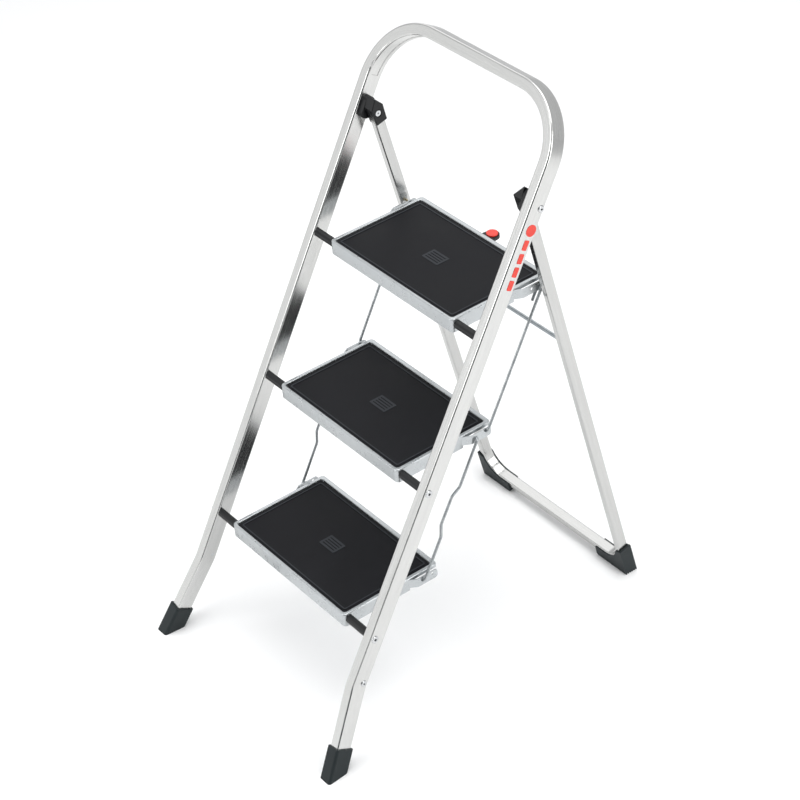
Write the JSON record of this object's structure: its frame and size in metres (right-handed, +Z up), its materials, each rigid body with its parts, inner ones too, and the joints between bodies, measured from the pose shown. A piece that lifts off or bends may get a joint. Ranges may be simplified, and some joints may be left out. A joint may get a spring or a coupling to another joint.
{
  "type": "step stool",
  "caption": "Folding aluminium step stool with matted treads on axles, a tubular front frame with a high hand rail, link wires and a swinging rear frame.",
  "frame": {"origin": "on the floor at the middle of the footprint", "axes": "+Z up, -Y towards the person who climbs, +X to the side of the stile with the plain mark"},
  "size_m": [0.5136, 0.7322, 1.0279],
  "materials": {
    "tube": "fine brushed",
    "tread_metal": "satin silver",
    "mat_rubber": "matte, fine grain",
    "foot_plastic": "matte",
    "black_plastic": "satin",
    "bar_steel": "zinc plated",
    "rivet_steel": "bright",
    "wire": "zinc plated wire",
    "pin_brass": "satin",
    "red_plastic": "gloss"
  },
  "bodies": {
    "front": {"front_frame": "tube", "front_foot_left": "foot_plastic", "front_foot_right": "foot_plastic", "axle_top": "bar_steel", "axle_mid": "bar_steel", "axle_low": "bar_steel", "axle_sleeves": "black_plastic", "axle_rivets": "rivet_steel", "leg_rivets": "rivet_steel", "hinge_boss_left": "black_plastic", "hinge_boss_right": "black_plastic", "hinge_rivets": "rivet_steel", "side_dot": "red_plastic", "side_bars": "red_plastic"},
    "rear": {"rear_frame": "tube", "hinge_cap_left": "black_plastic", "hinge_cap_right": "black_plastic", "rear_crossbar": "bar_steel", "rest_hooks": "rivet_steel", "rear_shoe_left": "foot_plastic", "rear_shoe_right": "foot_plastic"},
    "top_step": {"tread_top": "tread_metal", "mat_top": "mat_rubber", "rest_pins": "pin_brass"},
    "mid_step": {"tread_mid": "tread_metal", "mat_mid": "mat_rubber"},
    "low_step": {"tread_low": "tread_metal", "mat_low": "mat_rubber"},
    "upper_links": {"upper_link_left": "wire", "upper_link_right": "wire"},
    "lower_links": {"lower_link_left": "wire", "lower_link_right": "wire"},
    "release": {"release_tongue": "black_plastic", "release_button": "red_plastic"}
  },
  "joints": [
    {"name": "tread_fold", "type": "hinge", "parent": "front", "child": "top_step", "pos_m": [0, 0.03177, 0.6785], "axis": [1, 0, 0], "range_deg": [0, 52]},
    {"name": "mid_fold", "type": "hinge", "parent": "front", "child": "mid_step", "pos_m": [0, -0.09836, 0.4485], "axis": [1, 0, 0], "range_deg": [0, 52]},
    {"name": "low_fold", "type": "hinge", "parent": "front", "child": "low_step", "pos_m": [0, -0.22848, 0.2185], "axis": [1, 0, 0], "range_deg": [0, 52]},
    {"name": "upper_link_pivot", "type": "hinge", "parent": "top_step", "child": "upper_links", "pos_m": [0, 0.19877, 0.6825], "axis": [-1, 0, 0], "range_deg": [0, 52]},
    {"name": "lower_link_pivot", "type": "hinge", "parent": "mid_step", "child": "lower_links", "pos_m": [0, 0.04814, 0.4495], "axis": [-1, 0, 0], "range_deg": [0, 52]},
    {"name": "rear_fold", "type": "hinge", "parent": "front", "child": "rear", "pos_m": [0, 0.15472, 0.8671], "axis": [-1, 0, 0], "range_deg": [0, 37.44]},
    {"name": "release_press", "type": "hinge", "parent": "top_step", "child": "release", "pos_m": [0, 0.18377, 0.67625], "axis": [-1, 0, 0], "range_deg": [0, 9], "stiffness_Nm_per_rad": 0.6, "springref_deg": -6.88}
  ],
  "couplings": [
    {"joint": "mid_fold", "follows": "tread_fold", "ratio": 1},
    {"joint": "low_fold", "follows": "tread_fold", "ratio": 1},
    {"joint": "upper_link_pivot", "follows": "tread_fold", "ratio": 1},
    {"joint": "lower_link_pivot", "follows": "tread_fold", "ratio": 1},
    {"joint": "rear_fold", "follows": "tread_fold", "ratio": 0.72}
  ]
}
